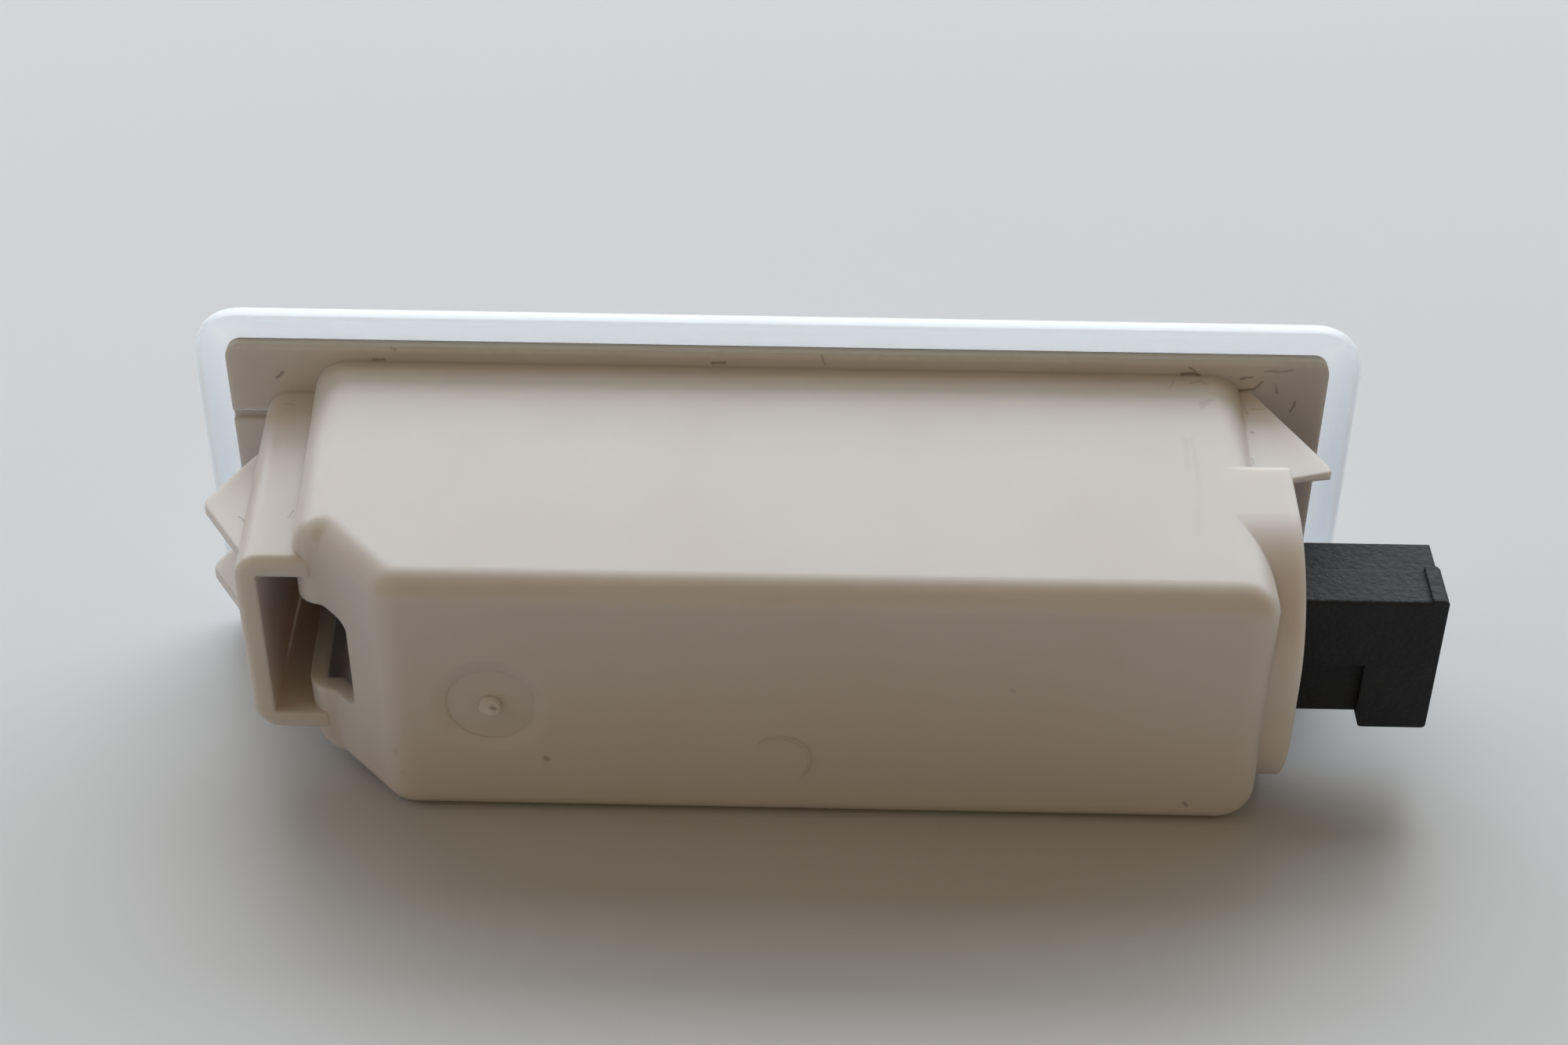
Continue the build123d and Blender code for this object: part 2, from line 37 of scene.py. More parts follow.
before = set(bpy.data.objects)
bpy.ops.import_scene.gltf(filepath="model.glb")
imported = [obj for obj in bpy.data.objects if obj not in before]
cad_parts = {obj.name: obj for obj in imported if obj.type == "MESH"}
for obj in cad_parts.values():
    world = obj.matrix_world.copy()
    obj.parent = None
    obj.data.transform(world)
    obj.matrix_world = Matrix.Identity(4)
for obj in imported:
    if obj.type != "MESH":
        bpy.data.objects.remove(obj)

Colour = tuple[float, float, float, float]
Point = tuple[float, float, float]

MM = 0.001


class Slot(Enum):
    """Material slots of the record."""

    BEIGE = "beige_plastic"
    MILKY = "milky_plastic"
    BLACK = "black_plastic"
    BRASS = "contact_brass"
    GLASS = "clear_glass"
    WIRE = "lead_wire"


@dataclass(frozen=True)
class LampFrame:
    """The lamp's own directions as it lies: along it, up its flange and back from the flange."""

    tilt: float = math.radians(9.551118625942445)
    origin: Point = (-1.95, 9.95420266, 13.5616701)

    def place(self, along: float, up: float, back: float) -> Vector:
        """Point of the row frame in metres.

        Args:
            along: millimetres from the middle of the flange towards the connector.
            up: millimetres from the flange's middle line.
            back: millimetres behind the flange's back face.

        Returns:
            The point in metres.
        """
        sine, cosine = math.sin(self.tilt), math.cos(self.tilt)
        x, y, z = self.origin
        return Vector((x + along, y - up * sine - back * cosine, z + up * cosine - back * sine)) * MM

    def direction(self, along: float, up: float, back: float) -> Vector:
        """Direction of the row frame for a direction in the lamp's own frame."""
        return (self.place(along, up, back) - self.place(0, 0, 0)).normalized()


LAMP = LampFrame()


class Nodes:
    """Short way to add and link the nodes of one material or node group."""

    def __init__(self, tree: bpy.types.NodeTree) -> None:
        """Keeps the tree that the nodes go into."""
        self.tree = tree

    def add(self, kind: str, **values: object) -> bpy.types.Node:
        """Adds a node.

        Args:
            kind: the node's type name.
            values: its settings, set by attribute.

        Returns:
            The node.
        """
        node = self.tree.nodes.new(kind)
        for name, value in values.items():
            setattr(node, name, value)
        return node

    def link(self, source: bpy.types.NodeSocket, target: bpy.types.NodeSocket) -> None:
        """Links two sockets."""
        self.tree.links.new(source, target)

    def math(
        self, operation: str, first: object, second: object = None, clamp: bool = False
    ) -> bpy.types.NodeSocket:
        """Adds a Math node.

        Args:
            operation: the operation's name.
            first: a socket or a number.
            second: a socket, a number or nothing.
            clamp: whether the result stays between 0 and 1.

        Returns:
            The result's socket.
        """
        node = self.add("ShaderNodeMath", operation=operation, use_clamp=clamp)
        for index, value in enumerate((first, second)):
            if isinstance(value, bpy.types.NodeSocket):
                self.link(value, node.inputs[index])
            elif value is not None:
                node.inputs[index].default_value = value
        return node.outputs[0]

    def vector(self, operation: str, first: object, second: object = None) -> bpy.types.Node:
        """Adds a Vector Math node.

        Args:
            operation: the operation's name.
            first: a socket or a vector.
            second: a socket, a vector or nothing.

        Returns:
            The node.
        """
        node = self.add("ShaderNodeVectorMath", operation=operation)
        for index, value in enumerate((first, second)):
            if isinstance(value, bpy.types.NodeSocket):
                self.link(value, node.inputs[index])
            elif value is not None:
                node.inputs[index].default_value = value
        return node

    def mix(self, factor: bpy.types.NodeSocket, first: object, second: object) -> bpy.types.NodeSocket:
        """Mixes two colours by a mask.

        Args:
            factor: the mask's socket.
            first: socket or colour where the mask is 0.
            second: socket or colour where the mask is 1.

        Returns:
            The mixed colour's socket.
        """
        node = self.add("ShaderNodeMix", data_type="RGBA")
        self.link(factor, node.inputs["Factor"])
        for index, value in ((6, first), (7, second)):
            if isinstance(value, bpy.types.NodeSocket):
                self.link(value, node.inputs[index])
            else:
                node.inputs[index].default_value = value
        return node.outputs[2]

    def ramp(self, factor: bpy.types.NodeSocket, low: float, high: float) -> bpy.types.NodeSocket:
        """Mask that rises from 0 to 1 while a value goes from low to high."""
        node = self.add("ShaderNodeMapRange", clamp=True)
        self.link(factor, node.inputs["Value"])
        node.inputs["From Min"].default_value = low
        node.inputs["From Max"].default_value = high
        return node.outputs["Result"]

    def span(self, factor: bpy.types.NodeSocket, low: float, high: float) -> bpy.types.NodeSocket:
        """Value that goes from low to high while a factor goes from 0 to 1."""
        node = self.add("ShaderNodeMapRange")
        self.link(factor, node.inputs["Value"])
        node.inputs["To Min"].default_value = low
        node.inputs["To Max"].default_value = high
        return node.outputs["Result"]

    def noise(self, place: bpy.types.NodeSocket, scale: float, detail: float) -> bpy.types.Node:
        """Adds a Noise Texture node with its scale per metre."""
        node = self.add("ShaderNodeTexNoise")
        self.link(place, node.inputs["Vector"])
        node.inputs["Scale"].default_value = scale
        node.inputs["Detail"].default_value = detail
        return node

    def grain(self, place: bpy.types.NodeSocket, cloud_scale: float, grain_scale: float) -> bpy.types.Node:
        """Adds the moulded grain group with its two scales per metre."""
        node = self.add("ShaderNodeGroup", node_tree=bpy.data.node_groups["moulded_grain"])
        self.link(place, node.inputs["Place"])
        node.inputs["Cloud Scale"].default_value = cloud_scale
        node.inputs["Grain Scale"].default_value = grain_scale
        return node

    def wander(self, place: bpy.types.NodeSocket, scale: float, amount: float) -> bpy.types.NodeSocket:
        """Moves places about by noise, so that straight marks become wavy.

        Args:
            place: the places.
            scale: the noise's scale per metre.
            amount: span of the moves in metres.

        Returns:
            The moved places.
        """
        node = self.noise(place, scale, 1.0)
        middle = self.vector("SUBTRACT", node.outputs["Color"], (0.5, 0.5, 0.5)).outputs["Vector"]
        move = self.vector("MULTIPLY", middle, (amount, amount, amount)).outputs["Vector"]
        return self.vector("ADD", place, move).outputs["Vector"]


def moulded_grain() -> bpy.types.NodeTree:
    """Node group of a moulded surface: a cloudy tone and a fine grain, from Object coordinates.

    Returns:
        The group.
    """
    tree = bpy.data.node_groups.new("moulded_grain", "ShaderNodeTree")
    tree.interface.new_socket("Place", in_out="INPUT", socket_type="NodeSocketVector")
    tree.interface.new_socket("Cloud Scale", in_out="INPUT", socket_type="NodeSocketFloat")
    tree.interface.new_socket("Grain Scale", in_out="INPUT", socket_type="NodeSocketFloat")
    tree.interface.new_socket("Cloud", in_out="OUTPUT", socket_type="NodeSocketFloat")
    tree.interface.new_socket("Grain", in_out="OUTPUT", socket_type="NodeSocketFloat")
    nodes = Nodes(tree)
    start = nodes.add("NodeGroupInput")
    end = nodes.add("NodeGroupOutput")
    cloud = nodes.add("ShaderNodeTexNoise")
    grain = nodes.add("ShaderNodeTexNoise")
    for node, scale, detail in ((cloud, "Cloud Scale", 4.0), (grain, "Grain Scale", 2.0)):
        nodes.link(start.outputs["Place"], node.inputs["Vector"])
        nodes.link(start.outputs[scale], node.inputs["Scale"])
        node.inputs["Detail"].default_value = detail
    nodes.link(cloud.outputs["Fac"], end.inputs["Cloud"])
    nodes.link(grain.outputs["Fac"], end.inputs["Grain"])
    return tree


def line_mark() -> bpy.types.NodeTree:
    """Node group of one thin mark: a line between two points that fades away from its middle.

    Returns:
        The group.
    """
    tree = bpy.data.node_groups.new("line_mark", "ShaderNodeTree")
    tree.interface.new_socket("Place", in_out="INPUT", socket_type="NodeSocketVector")
    tree.interface.new_socket("Start", in_out="INPUT", socket_type="NodeSocketVector")
    tree.interface.new_socket("End", in_out="INPUT", socket_type="NodeSocketVector")
    tree.interface.new_socket("Width", in_out="INPUT", socket_type="NodeSocketFloat")
    tree.interface.new_socket("Mark", in_out="OUTPUT", socket_type="NodeSocketFloat")
    nodes = Nodes(tree)
    start = nodes.add("NodeGroupInput")
    end = nodes.add("NodeGroupOutput")
    run = nodes.vector("SUBTRACT", start.outputs["End"], start.outputs["Start"]).outputs["Vector"]
    away = nodes.vector("SUBTRACT", start.outputs["Place"], start.outputs["Start"]).outputs["Vector"]
    along = nodes.vector("DOT_PRODUCT", away, run).outputs["Value"]
    square = nodes.vector("DOT_PRODUCT", run, run).outputs["Value"]
    share = nodes.math("DIVIDE", along, square, clamp=True)
    scaled = nodes.add("ShaderNodeVectorMath", operation="SCALE")
    nodes.link(run, scaled.inputs[0])
    nodes.link(share, scaled.inputs["Scale"])
    offset = nodes.vector("SUBTRACT", away, scaled.outputs["Vector"]).outputs["Vector"]
    distance = nodes.vector("LENGTH", offset).outputs["Value"]
    ratio = nodes.math("DIVIDE", distance, start.outputs["Width"])
    mark = nodes.math("SUBTRACT", 1.0, ratio, clamp=True)
    nodes.link(mark, end.inputs["Mark"])
    return tree


@dataclass(frozen=True)
class MarkLine:
    """A thin line on the housing, in the lamp's own millimetres: a dark mark, or a pale painted highlight."""

    start: Point
    end: Point
    width: float = 0.14
    strength: float = 0.7


# Dark marks on the housing: specks, threads, scuffs and faint witness lines; the last line is painted shade
# in the sprue's pit.
DARK_MARKS_AND_PIT_SHADE = (
    MarkLine((28.68, 11.13, 0.00), (29.84, 11.06, 0.00), 0.22, 0.75),
    MarkLine((29.18, 11.64, 0.00), (29.73, 11.12, 0.00), 0.16, 0.60),
    MarkLine((32.79, 10.78, 0.00), (33.60, 10.97, 0.00), 0.12, 0.80),
    MarkLine((32.80, 9.74, 0.00), (33.89, 9.87, 0.00), 0.14, 0.80),
    MarkLine((33.84, 9.87, 0.00), (34.37, 10.55, 0.00), 0.13, 0.70),
    MarkLine((34.49, 11.42, 0.00), (36.45, 11.52, 0.00), 0.16, 0.40),
    MarkLine((35.27, 10.36, 0.00), (35.47, 9.63, 0.00), 0.12, 0.60),
    MarkLine((36.89, 8.85, 0.00), (36.66, 8.03, 0.00), 0.14, 0.70),
    MarkLine((-35.57, 9.46, 0.00), (-35.01, 10.01, 0.00), 0.16, 0.70),
    MarkLine((-28.53, 11.15, 0.00), (-27.69, 11.23, 0.00), 0.20, 0.60),
    MarkLine((-27.17, 12.10, 0.00), (-26.85, 11.98, 0.00), 0.14, 0.60),
    MarkLine((-4.48, 11.36, 0.00), (-3.54, 11.38, 0.00), 0.20, 0.60),
    MarkLine((3.25, 12.18, 0.00), (3.54, 11.39, 0.00), 0.12, 0.50),
    MarkLine((27.67, 10.93, 1.54), (28.08, 10.97, 0.71), 0.12, 0.30),
    MarkLine((29.15, 10.96, 0.95), (29.84, 10.97, 0.66), 0.14, 0.30),
    MarkLine((29.84, 10.97, 0.66), (30.40, 10.95, 1.10), 0.14, 0.28),
    MarkLine((29.69, 10.86, 3.29), (30.44, 10.88, 2.82), 0.30, 0.22),
    MarkLine((29.71, 10.84, 3.65), (30.19, 10.86, 3.19), 0.26, 0.20),
    MarkLine((28.22, 10.68, 7.30), (28.11, 10.53, 10.71), 0.35, 0.07),
    MarkLine((32.95, 9.70, 1.63), (33.09, 9.70, 2.77), 0.12, 0.45),
    MarkLine((33.47, 9.70, 2.29), (34.38, 9.70, 2.07), 0.12, 0.30),
    MarkLine((33.07, 9.70, 4.95), (33.14, 9.70, 5.04), 0.16, 0.50),
    MarkLine((32.74, 9.70, 8.00), (32.81, 9.70, 8.72), 0.12, 0.22),
    MarkLine((-34.82, 8.20, 1.29), (-34.17, 8.19, 1.46), 0.12, 0.40),
    MarkLine((-14.80, -4.85, 23.70), (-14.69, -4.92, 23.70), 0.30, 0.60),
    MarkLine((28.36, -7.83, 23.70), (28.49, -8.05, 23.70), 0.22, 0.60),
    MarkLine((16.08, 1.99, 23.70), (16.24, 1.86, 23.70), 0.20, 0.25),
    MarkLine((-36.23, 6.60, 12.57), (-35.50, 6.60, 13.34), 0.13, 0.55),
    MarkLine((-32.45, 7.69, 13.89), (-32.23, 7.72, 13.30), 0.14, 0.35),
    MarkLine((-24.50, -6.60, 23.30), (-24.15, -7.40, 23.10), 0.45, 0.30),
    MarkLine((-24.85, -4.60, 23.30), (-24.75, -5.20, 23.25), 0.35, 0.22),
    MarkLine((-22.40, -9.60, 23.30), (-20.30, -9.70, 23.30), 0.35, 0.22),
    MarkLine((28.65, 10.68, 7.28), (28.68, 10.46, 12.37), 0.30, 0.06),
    MarkLine((28.68, 10.46, 12.37), (28.10, 10.25, 17.25), 0.50, 0.04),
    # Painted shade: a dark spot stands for the shade inside the sprue's pit.
    MarkLine((-18.10, -0.25, 24.00), (-18.02, -0.22, 24.00), 0.30, 0.75),
)

# Painted highlights and painted light, mixed pale into the colour: glints on the groove's burr and on the
# flange's left edge, a glint along the pocket's inner corner, the flange's top edge painted lit where the
# lens rim shades it, the slot's lower cheek painted lit, and a glint beside the sprue.
PAINTED_HIGHLIGHTS = (
    MarkLine((-38.90, 6.62, 0.00), (-36.30, 6.68, 0.00), 0.18, 1.00),
    MarkLine((-39.02, 6.60, 0.00), (-39.02, 6.62, -0.80), 0.14, 0.60),
    MarkLine((-34.93, -6.69, 1.50), (-34.46, -6.31, 11.00), 0.22, 0.90),
    MarkLine((-38.60, 12.25, -0.45), (38.60, 12.25, -0.45), 0.70, 0.80),
    MarkLine((-31.40, -3.75, 8.00), (-30.90, -3.75, 18.00), 0.75, 0.45),
    MarkLine((-18.45, -0.50, 24.00), (-18.30, -0.60, 24.00), 0.45, 0.40),
)


@dataclass(frozen=True)
class BeigePlastic:
    """Warm light moulded plastic with faint clouds, fine grain, dark specks and scuffs, a painted shade in
    the sprue's pit, and pale painted highlights and lit strips.
    """

    base: Colour = (0.713, 0.660, 0.645, 1.0)
    dull: Colour = (0.693, 0.634, 0.612, 1.0)
    # Colour of the dark marks and of the painted shade in the sprue's pit.
    dirt_and_pit_shade: Colour = (0.09, 0.075, 0.06, 1.0)
    # Colour of the painted highlights.
    pale: Colour = (0.90, 0.90, 0.88, 1.0)
    roughness: float = 0.42
    roughness_spread: float = 0.06
    cloud_scale: float = 90.0
    grain_scale: float = 6000.0
    wave_scale: float = 1300.0
    wave_span: float = 0.34
    glow_weight: float = 0.6
    glow_radius: Point = (1.0, 0.86, 0.74)
    glow_depth: float = 2.5
    edge_radius: float = 0.28
    mark_lines: tuple[MarkLine, ...] = DARK_MARKS_AND_PIT_SHADE
    painted_highlights: tuple[MarkLine, ...] = PAINTED_HIGHLIGHTS

    def marks(
        self, nodes: Nodes, place: bpy.types.NodeSocket, mark_lines: tuple[MarkLine, ...]
    ) -> bpy.types.NodeSocket:
        """Joins thin marks in one mask.

        Args:
            nodes: the material's nodes.
            place: the places that the marks are drawn at.
            mark_lines: the marks.

        Returns:
            The mask's socket.
        """
        mask = None
        for drawn_line in mark_lines:
            mark = nodes.add("ShaderNodeGroup", node_tree=bpy.data.node_groups["line_mark"])
            nodes.link(place, mark.inputs["Place"])
            mark.inputs["Start"].default_value = LAMP.place(*drawn_line.start)
            mark.inputs["End"].default_value = LAMP.place(*drawn_line.end)
            mark.inputs["Width"].default_value = drawn_line.width * MM
            faded = nodes.math("MULTIPLY", mark.outputs["Mark"], drawn_line.strength)
            mask = faded if mask is None else nodes.math("MAXIMUM", mask, faded)
        return mask

    def make(self) -> bpy.types.Material:
        """Makes the material."""
        material, nodes, shader, place = new_material("beige_plastic_look")
        grain = nodes.grain(place, self.cloud_scale, self.grain_scale)
        cloud = nodes.ramp(grain.outputs["Cloud"], 0.35, 0.75)
        colour = nodes.mix(cloud, self.base, self.dull)
        wavy = nodes.wander(place, self.wave_scale, self.wave_span * MM)
        # Dark marks, with the painted shade in the sprue's pit.
        colour = nodes.mix(self.marks(nodes, wavy, self.mark_lines), colour, self.dirt_and_pit_shade)
        # Painted highlights: the pale glints and lit strips.
        colour = nodes.mix(self.marks(nodes, wavy, self.painted_highlights), colour, self.pale)
        nodes.link(colour, shader.inputs["Base Color"])
        smooth, matt = self.roughness - self.roughness_spread, self.roughness + self.roughness_spread
        nodes.link(nodes.span(grain.outputs["Cloud"], smooth, matt), shader.inputs["Roughness"])
        shader.inputs["Subsurface Weight"].default_value = self.glow_weight
        shader.inputs["Subsurface Radius"].default_value = self.glow_radius
        shader.inputs["Subsurface Scale"].default_value = self.glow_depth * MM
        add_bump(nodes, shader, grain.outputs["Grain"], 0.05, 0.02 * MM, self.edge_radius * MM)
        return material


@dataclass(frozen=True)
class MilkyPlastic:
    """Milky translucent lens plastic, pale and slightly blue."""

    base: Colour = (0.58, 0.65, 0.80, 1.0)
    deep: Colour = (0.56, 0.635, 0.79, 1.0)
    lip: Colour = (0.76, 0.80, 0.86, 1.0)
    half_length: float = 39.0
    half_height: float = 12.25
    lip_width: float = 1.3
    cloud_scale: float = 120.0
    grain_scale: float = 2500.0
    smooth: float = 0.3
    matt: float = 0.42
    glow_radius: Point = (0.85, 0.90, 1.0)
    glow_depth: float = 17.0

    def from_middle(
        self, nodes: Nodes, away: bpy.types.NodeSocket, direction: Vector, half: float
    ) -> bpy.types.NodeSocket:
        """Distance outside the flange's outline along one direction.

        Args:
            nodes: the material's nodes.
            away: places from the flange's middle.
            direction: the direction.
            half: millimetres from the middle to the outline.

        Returns:
            The distance's socket, in metres.
        """
        share = nodes.vector("DOT_PRODUCT", away, direction).outputs["Value"]
        return nodes.math("SUBTRACT", nodes.math("ABSOLUTE", share), half * MM)

    def make(self) -> bpy.types.Material:
        """Makes the material."""
        material, nodes, shader, place = new_material("milky_plastic_look")
        grain = nodes.grain(place, self.cloud_scale, self.grain_scale)
        colour = nodes.mix(nodes.ramp(grain.outputs["Cloud"], 0.3, 0.8), self.base, self.deep)
        away = nodes.vector("SUBTRACT", place, LAMP.place(0, 0, 0)).outputs["Vector"]
        beside = self.from_middle(nodes, away, LAMP.direction(1, 0, 0), self.half_length)
        above = self.from_middle(nodes, away, LAMP.direction(0, 1, 0), self.half_height)
        outside = nodes.math("MAXIMUM", beside, above)
        colour = nodes.mix(nodes.ramp(outside, 0.0, self.lip_width * MM), self.lip, colour)
        nodes.link(colour, shader.inputs["Base Color"])
        nodes.link(nodes.span(grain.outputs["Cloud"], self.smooth, self.matt), shader.inputs["Roughness"])
        shader.inputs["Subsurface Weight"].default_value = 1.0
        shader.inputs["Subsurface Radius"].default_value = self.glow_radius
        shader.inputs["Subsurface Scale"].default_value = self.glow_depth * MM
        add_bump(nodes, shader, grain.outputs["Grain"], 0.02, 0.02 * MM)
        return material


@dataclass(frozen=True)
class BlackPlastic:
    """Matt black plastic with a coarse grain and faint flecks."""

    base: Colour = (0.0062, 0.0092, 0.0180, 1.0)
    worn: Colour = (0.0125, 0.0155, 0.0225, 1.0)
    fleck: Colour = (0.018, 0.021, 0.027, 1.0)
    cloud_scale: float = 300.0
    grain_scale: float = 2400.0
    smooth: float = 0.55
    matt: float = 0.75
    grain_depth: float = 0.12
    edge_radius: float = 0.2

    def make(self) -> bpy.types.Material:
        """Makes the material."""
        material, nodes, shader, place = new_material("black_plastic_look")
        grain = nodes.grain(place, self.cloud_scale, self.grain_scale)
        colour = nodes.mix(nodes.ramp(grain.outputs["Cloud"], 0.4, 0.8), self.base, self.worn)
        colour = nodes.mix(nodes.ramp(grain.outputs["Grain"], 0.62, 0.74), colour, self.fleck)
        nodes.link(colour, shader.inputs["Base Color"])
        nodes.link(nodes.span(grain.outputs["Grain"], self.smooth, self.matt), shader.inputs["Roughness"])
        add_bump(nodes, shader, grain.outputs["Grain"], 0.8, self.grain_depth * MM, self.edge_radius * MM)
        return material


@dataclass(frozen=True)
class BareMetal:
    """Drawn or stamped metal with fine lines along one direction."""

    name: str
    base: Colour
    dark: Colour
    roughness: float = 0.3
    line_scale: float = 9000.0

    def make(self) -> bpy.types.Material:
        """Makes the material."""
        material, nodes, shader, place = new_material(self.name)
        stretch = nodes.add("ShaderNodeMapping")
        nodes.link(place, stretch.inputs["Vector"])
        stretch.inputs["Scale"].default_value = (0.05, 1.0, 1.0)
        lines = nodes.noise(stretch.outputs["Vector"], self.line_scale, 2.0).outputs["Fac"]
        nodes.link(nodes.mix(lines, self.base, self.dark), shader.inputs["Base Color"])
        shader.inputs["Metallic"].default_value = 1.0
        rough = nodes.span(lines, self.roughness - 0.08, self.roughness + 0.12)
        nodes.link(rough, shader.inputs["Roughness"])
        add_bump(nodes, shader, lines, 0.1, 0.01 * MM)
        return material


@dataclass(frozen=True)
class ClearGlass:
    """Clear bulb glass with a faint film."""

    tint: Colour = (0.96, 0.98, 0.98, 1.0)
    film: Colour = (0.88, 0.90, 0.91, 1.0)
    film_scale: float = 220.0
    film_roughness: float = 0.05

    def make(self) -> bpy.types.Material:
        """Makes the material."""
        material, nodes, shader, place = new_material("clear_glass_look")
        cloud = nodes.noise(place, self.film_scale, 3.0).outputs["Fac"]
        nodes.link(nodes.mix(cloud, self.tint, self.film), shader.inputs["Base Color"])
        nodes.link(nodes.span(cloud, 0.0, self.film_roughness), shader.inputs["Roughness"])
        shader.inputs["Transmission Weight"].default_value = 1.0
        shader.inputs["IOR"].default_value = 1.5
        return material


@dataclass(frozen=True)
class PaleFloor:
    """Plain pale table top with a slight sheen."""

    base: Colour = (0.575, 0.582, 0.61, 1.0)
    shade: Colour = (0.56, 0.567, 0.595, 1.0)
    cloud_scale: float = 14.0
    roughness: float = 0.45

    def make(self) -> bpy.types.Material:
        """Makes the material."""
        material, nodes, shader, place = new_material("pale_floor_look")
        cloud = nodes.noise(place, self.cloud_scale, 3.0).outputs["Fac"]
        nodes.link(nodes.mix(cloud, self.base, self.shade), shader.inputs["Base Color"])
        shader.inputs["Roughness"].default_value = self.roughness
        return material


def new_material(name: str) -> tuple[bpy.types.Material, Nodes, bpy.types.Node, bpy.types.NodeSocket]:
    """Makes an empty node material.

    Args:
        name: the material's name.

    Returns:
        The material, its nodes, its Principled shader and the Object coordinates.
    """
    material = bpy.data.materials.new(name)
    material.use_nodes = True
    material.node_tree.nodes.clear()
    nodes = Nodes(material.node_tree)
    shader = nodes.add("ShaderNodeBsdfPrincipled")
    output = nodes.add("ShaderNodeOutputMaterial")
    nodes.link(shader.outputs["BSDF"], output.inputs["Surface"])
    place = nodes.add("ShaderNodeTexCoord").outputs["Object"]
    return material, nodes, shader, place


def add_bump(
    nodes: Nodes,
    shader: bpy.types.Node,
    height: bpy.types.NodeSocket,
    strength: float,
    distance: float,
    edge: float = 0.0,
) -> None:
    """Gives a shader a bumped surface with softened edges.

    Args:
        nodes: the material's nodes.
        shader: its Principled shader.
        height: the height's socket.
        strength: share of the bump that shows.
        distance: depth of the bump in metres.
        edge: radius of the softened edges in metres, 0 for none.
    """
    bump = nodes.add("ShaderNodeBump")
    if edge > 0.0:
        round_edge = nodes.add("ShaderNodeBevel", samples=4)
        round_edge.inputs["Radius"].default_value = edge
        nodes.link(round_edge.outputs["Normal"], bump.inputs["Normal"])
    bump.inputs["Strength"].default_value = strength
    bump.inputs["Distance"].default_value = distance
    nodes.link(height, bump.inputs["Height"])
    nodes.link(bump.outputs["Normal"], shader.inputs["Normal"])


def dress_node(name: str, slot: Slot, material: bpy.types.Material) -> None:
    """Gives a CAD node a material.

    Args:
        name: the node's name.
        slot: the record's slot of the node, for the log.
        material: the material.
    """
    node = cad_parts[name]
    node.data.materials.clear()
    node.data.materials.append(material)
    log.info("dressed %s, slot %s, with %s", name, slot.value, material.name)


@dataclass
class Housing:
    """The beige moulded housing."""

    finish: BeigePlastic = field(default_factory=BeigePlastic)

    def dress(self) -> None:
        """Dresses the housing."""
        dress_node("housing", Slot.BEIGE, self.finish.make())


@dataclass
class Lens:
    """The milky lens."""

    finish: MilkyPlastic = field(default_factory=MilkyPlastic)

    def dress(self) -> None:
        """Dresses the lens."""
        dress_node("lens", Slot.MILKY, self.finish.make())


@dataclass
class BulbHolder:
    """The black bulb holder and its two terminals."""

    finish: BlackPlastic = field(default_factory=BlackPlastic)
    contact: BareMetal = BareMetal(
        "contact_brass_look", (0.70, 0.55, 0.28, 1.0), (0.55, 0.42, 0.20, 1.0), 0.3
    )

    def dress(self) -> None:
        """Dresses the holder and the terminals."""
        dress_node("bulb_holder", Slot.BLACK, self.finish.make())
        contact = self.contact.make()
        dress_node("terminal_upper", Slot.BRASS, contact)
        dress_node("terminal_lower", Slot.BRASS, contact)


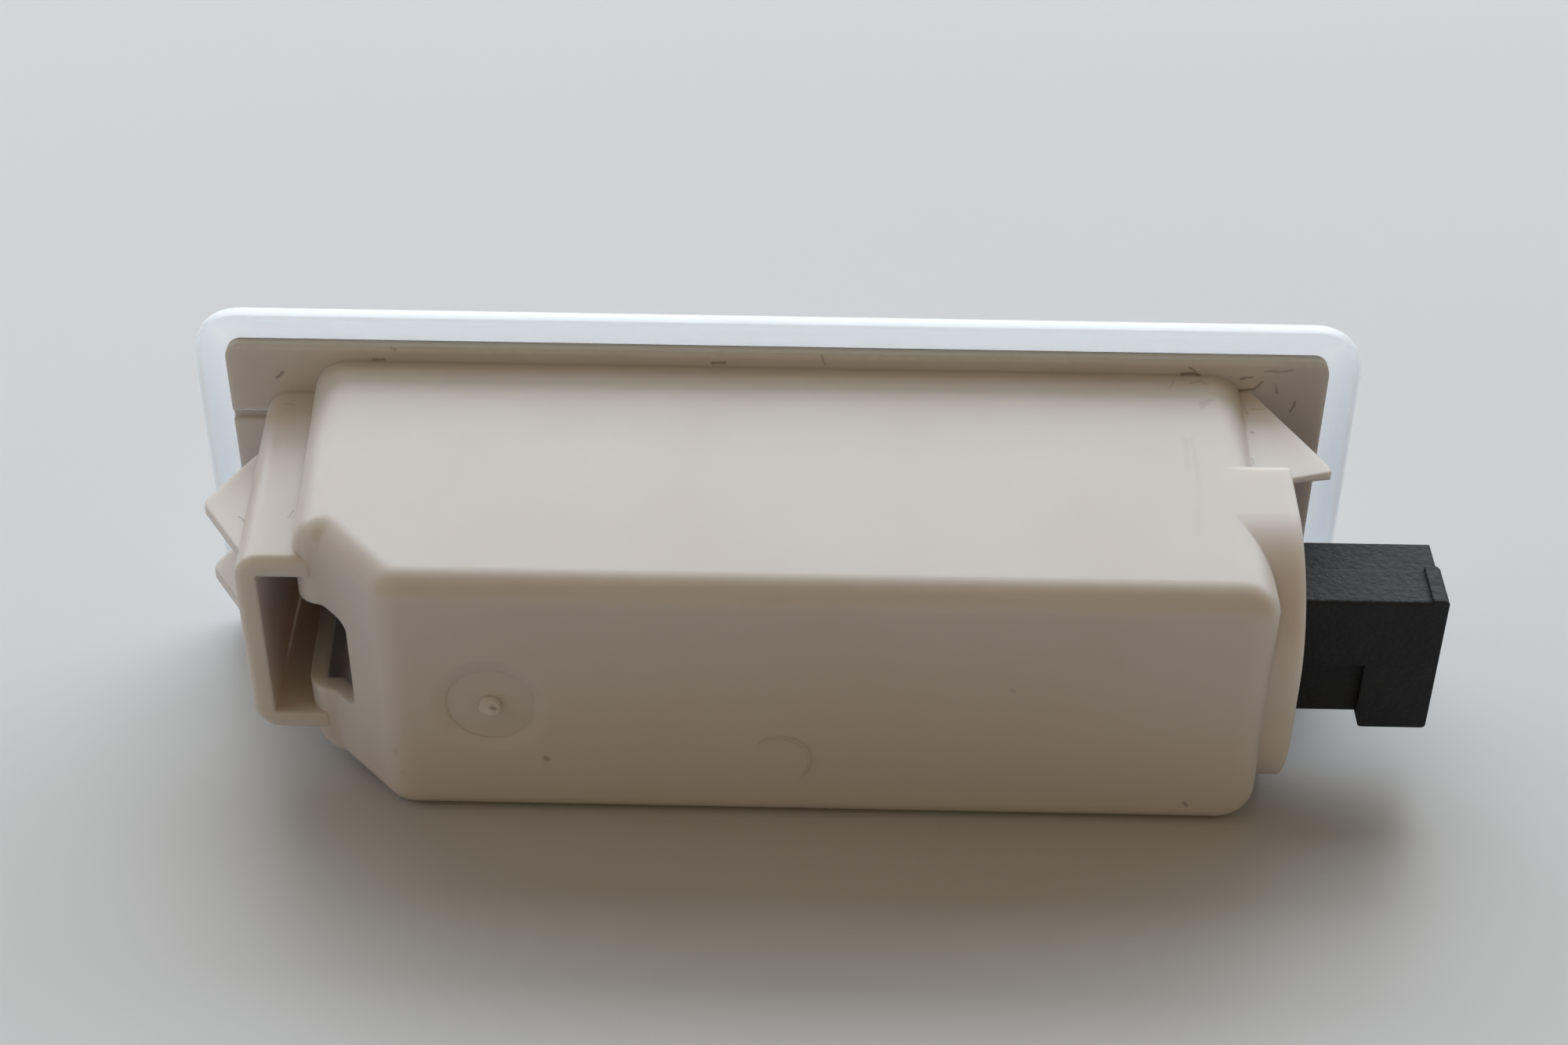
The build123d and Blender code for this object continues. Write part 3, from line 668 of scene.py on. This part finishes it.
@dataclass
class Bulb:
    """The wedge bulb: glass, leads and the coiled filament."""

    glass: ClearGlass = field(default_factory=ClearGlass)
    wire: BareMetal = BareMetal("lead_wire_look", (0.58, 0.58, 0.58, 1.0), (0.42, 0.42, 0.43, 1.0), 0.28)
    coil_length: float = 3.3
    coil_radius: float = 0.24
    coil_wire: float = 0.045
    coil_turns: int = 14
    coil_steps: int = 14
    coil_sides: int = 8
    merge_distance: float = 0.002
    smooth_angle: float = 50.0

    def build(self) -> bpy.types.Object:
        """Winds the filament as a coil in the place of the plain CAD filament.

        Returns:
            The coil.
        """
        low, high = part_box("filament")
        middle = (low + high) / 2
        bpy.ops.object.select_all(action="DESELECT")
        bpy.ops.mesh.primitive_circle_add(
            vertices=self.coil_sides,
            radius=self.coil_wire * MM,
            location=(0, 0, 0),
            rotation=(math.pi / 2, 0, 0),
        )
        coil = bpy.context.object
        coil.name = "filament_coil"
        coil.data.name = "filament_coil"
        bpy.ops.object.transform_apply(location=True, rotation=True, scale=True)
        bpy.ops.object.mode_set(mode="EDIT")
        bpy.ops.mesh.select_all(action="SELECT")
        bpy.ops.transform.translate(
            value=(self.coil_radius * MM, 0, -self.coil_length / 2 * MM + self.coil_wire * MM)
        )
        bpy.ops.object.mode_set(mode="OBJECT")
        winding = coil.modifiers.new("winding", "SCREW")
        winding.axis = "Z"
        winding.iterations = self.coil_turns
        winding.screw_offset = (self.coil_length - 2 * self.coil_wire) / self.coil_turns * MM
        winding.steps = self.coil_steps
        winding.render_steps = self.coil_steps
        winding.use_merge_vertices = True
        bpy.ops.object.modifier_apply(modifier=winding.name)
        bpy.ops.object.mode_set(mode="EDIT")
        bpy.ops.mesh.select_all(action="SELECT")
        bpy.ops.mesh.remove_doubles(threshold=self.merge_distance * MM)
        bpy.ops.mesh.select_all(action="DESELECT")
        bpy.ops.mesh.select_non_manifold()
        bpy.ops.mesh.edge_face_add()
        bpy.ops.mesh.select_all(action="SELECT")
        bpy.ops.mesh.normals_make_consistent(inside=False)
        bpy.ops.object.mode_set(mode="OBJECT")
        coil.data.transform(Matrix.Translation(middle) @ Matrix.Rotation(LAMP.tilt, 4, "X"))
        bpy.ops.object.shade_smooth_by_angle(angle=math.radians(self.smooth_angle))
        return coil

    def dress(self) -> None:
        """Dresses glass, leads and filament, and puts the coil on the lamp."""
        dress_node("bulb_glass", Slot.GLASS, self.glass.make())
        wire = self.wire.make()
        dress_node("lead_upper", Slot.WIRE, wire)
        dress_node("lead_lower", Slot.WIRE, wire)
        dress_node("filament", Slot.WIRE, wire)
        coil = self.build()
        coil.data.materials.append(wire)
        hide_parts("filament")
        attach(coil, "root")
        log.info("built %s", coil.name)


KEY_COLOUR: Point = (0.845, 0.93, 1.0)
WARM_COLOUR: Point = (1.0, 0.5, 0.06)


@dataclass(frozen=True)
class SoftLight:
    """A soft rectangular light that points at the lamp: its place and sides in metres, its power in watts."""

    name: str
    place: Point
    size: tuple[float, float]
    power: float
    colour: Point

    def build(self) -> None:
        """Adds the light to the scene."""
        data = bpy.data.lights.new(self.name, "AREA")
        data.shape = "RECTANGLE"
        data.size, data.size_y = self.size
        data.energy = self.power
        data.color = self.colour
        light = bpy.data.objects.new(self.name, data)
        light.location = self.place
        light.rotation_mode = "QUATERNION"
        light.rotation_quaternion = (-Vector(self.place)).to_track_quat("-Z", "Y")
        bpy.context.scene.collection.objects.link(light)


LIGHTS = (
    SoftLight("key", (0.02, 0.49, 0.40), (2.0, 0.28), 7.3, KEY_COLOUR),
    SoftLight("overhead", (0.0, 0.36, 0.66), (0.6, 0.3), 1.1, KEY_COLOUR),
    SoftLight("side", (-0.6, -0.12, 0.34), (0.5, 0.5), 0.45, KEY_COLOUR),
    SoftLight("front", (0.0, -0.9, 0.3), (1.4, 0.5), 0.3, WARM_COLOUR),
)


@dataclass
class Studio:
    """Floor, light and camera."""

    floor_size: float = 12.0
    focal_length: float = 59.794
    sensor: float = 36.0
    camera_place: Point = (3.639, 114.329, 152.602)
    camera_right: Point = (0.9997, 0.0047, -0.0230)
    camera_down: Point = (0.0177, -0.7935, 0.6083)
    lights: tuple[SoftLight, ...] = LIGHTS
    fill_colour: Colour = (1.0, 0.80, 0.48, 1.0)
    fill_strength: float = 0.235

    def build_floor(self) -> None:
        """Lays the pale floor under the lamp."""
        bpy.ops.object.select_all(action="DESELECT")
        bpy.ops.mesh.primitive_plane_add(size=self.floor_size, location=(0, 0, 0))
        floor = bpy.context.object
        floor.name = "floor"
        floor.data.materials.append(PaleFloor().make())

    def build_light(self) -> None:
        """Sets the soft lights from behind, above, the left and the front, and the fill all round."""
        for light in self.lights:
            light.build()
        world = bpy.data.worlds.new("studio")
        world.use_nodes = True
        background = world.node_tree.nodes["Background"]
        background.inputs["Color"].default_value = self.fill_colour
        background.inputs["Strength"].default_value = self.fill_strength
        bpy.context.scene.world = world
        bpy.context.scene.view_settings.view_transform = "Standard"

    def build_camera(self) -> None:
        """Sets the camera at the photograph's angle."""
        data = bpy.data.cameras.new("camera")
        data.lens = self.focal_length
        data.sensor_width = self.sensor
        data.clip_start = 0.005
        camera = bpy.data.objects.new("camera", data)
        right = LAMP.direction(*self.camera_right)
        upward = -LAMP.direction(*self.camera_down)
        rearward = right.cross(upward).normalized()
        upward = rearward.cross(right).normalized()
        turn = Matrix((right, upward, rearward)).transposed().to_4x4()
        camera.matrix_world = Matrix.Translation(LAMP.place(*self.camera_place)) @ turn
        bpy.context.scene.collection.objects.link(camera)
        bpy.context.scene.camera = camera

    def build(self) -> None:
        """Builds floor, light and camera."""
        self.build_floor()
        self.build_light()
        self.build_camera()


def main() -> None:
    """Builds and dresses the lamp, piece by piece, and sets the studio."""
    logging.basicConfig(level=logging.INFO)
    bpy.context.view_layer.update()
    moulded_grain()
    line_mark()
    Housing().dress()
    Lens().dress()
    BulbHolder().dress()
    Bulb().dress()
    Studio().build()


if __name__ == "__main__":
    main()
